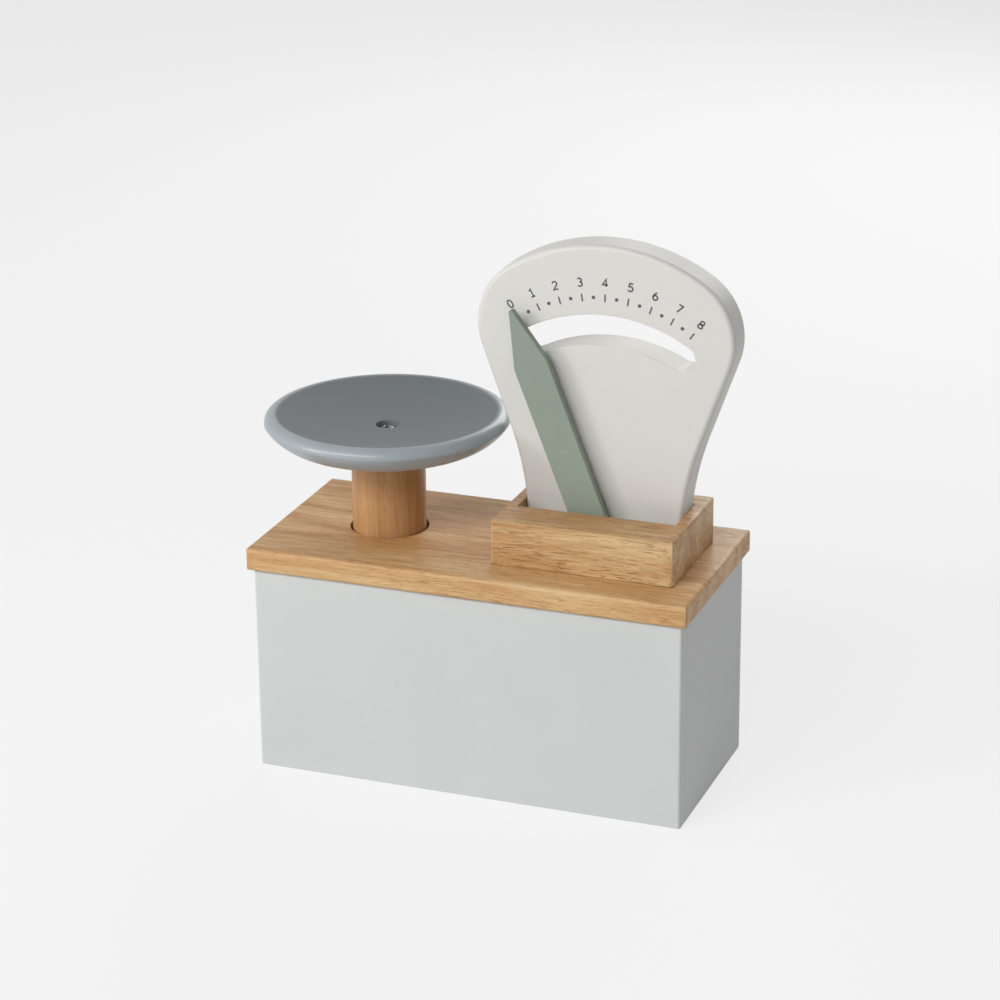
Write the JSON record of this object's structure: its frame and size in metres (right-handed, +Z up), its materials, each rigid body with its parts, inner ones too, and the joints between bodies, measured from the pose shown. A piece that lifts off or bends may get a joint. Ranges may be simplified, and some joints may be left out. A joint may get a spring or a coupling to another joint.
{
  "type": "toy weighing scale",
  "caption": "Toy kitchen scale: wooden case with a sprung round pan on a post, and a pointer that swings over a dial with an arc window.",
  "frame": {"origin": "middle of the underside of the case, on the surface that the scale stands on", "axes": "+Z up, +X to the right as seen from the front, +Y to the back; the dial faces -Y"},
  "size_m": [0.233, 0.119, 0.2662],
  "materials": {
    "board_wood": "clear satin rubberwood",
    "post_wood": "clear satin turned wood",
    "pan_lacquer": "blue-grey satin lacquer",
    "dial_paint": "off-white satin paint",
    "pointer_paint": "sage green matt paint",
    "case_paint": "light grey satin paint",
    "base_plywood": "plain plywood",
    "plain_wood": "plain unfinished wood",
    "screw_steel": "zinc plated",
    "spring_steel": "drawn wire",
    "spacer_plastic": "plain nylon"
  },
  "bodies": {
    "case": {"top_board": "board_wood", "front_panel": "case_paint", "back_panel": "case_paint", "left_panel": "case_paint", "right_panel": "case_paint", "base_panel": "base_plywood", "corner_block_fl": "plain_wood", "corner_block_fr": "plain_wood", "corner_block_bl": "plain_wood", "corner_block_br": "plain_wood", "base_screws": "screw_steel", "board_dowels": "plain_wood", "guide_block": "plain_wood", "guide_screws": "screw_steel", "dial_block": "board_wood", "block_screws": "screw_steel", "dial_plate": "dial_paint", "dial_dowels": "plain_wood", "pivot_pin": "screw_steel", "rear_spacer": "spacer_plastic", "front_spacer": "spacer_plastic", "spring_peg": "plain_wood", "return_spring": "spring_steel"},
    "weighing_pan": {"pan": "pan_lacquer", "pan_screw": "screw_steel", "post": "post_wood", "drive_arm": "plain_wood", "arm_screw": "screw_steel", "drive_fork": "screw_steel", "fork_screws": "screw_steel"},
    "pointer": {"pointer": "pointer_paint", "crank_pin": "screw_steel"}
  },
  "joints": [
    {"name": "pan_press", "type": "slide", "parent": "case", "child": "weighing_pan", "axis": [0, 0, -1], "range_m": [0, 0.013], "stiffness_N_per_m": 500, "springref_m": -0.009, "deforming": ["return_spring"]},
    {"name": "pointer_swing", "type": "hinge", "parent": "case", "child": "pointer", "pos_m": [0.05305, -0.006, 0.121], "axis": [0, 1, 0], "range_deg": [0, 42.5]}
  ],
  "couplings": [
    {"joint": "pointer_swing", "follows": "pan_press", "rad_per_m": 56.85}
  ]
}
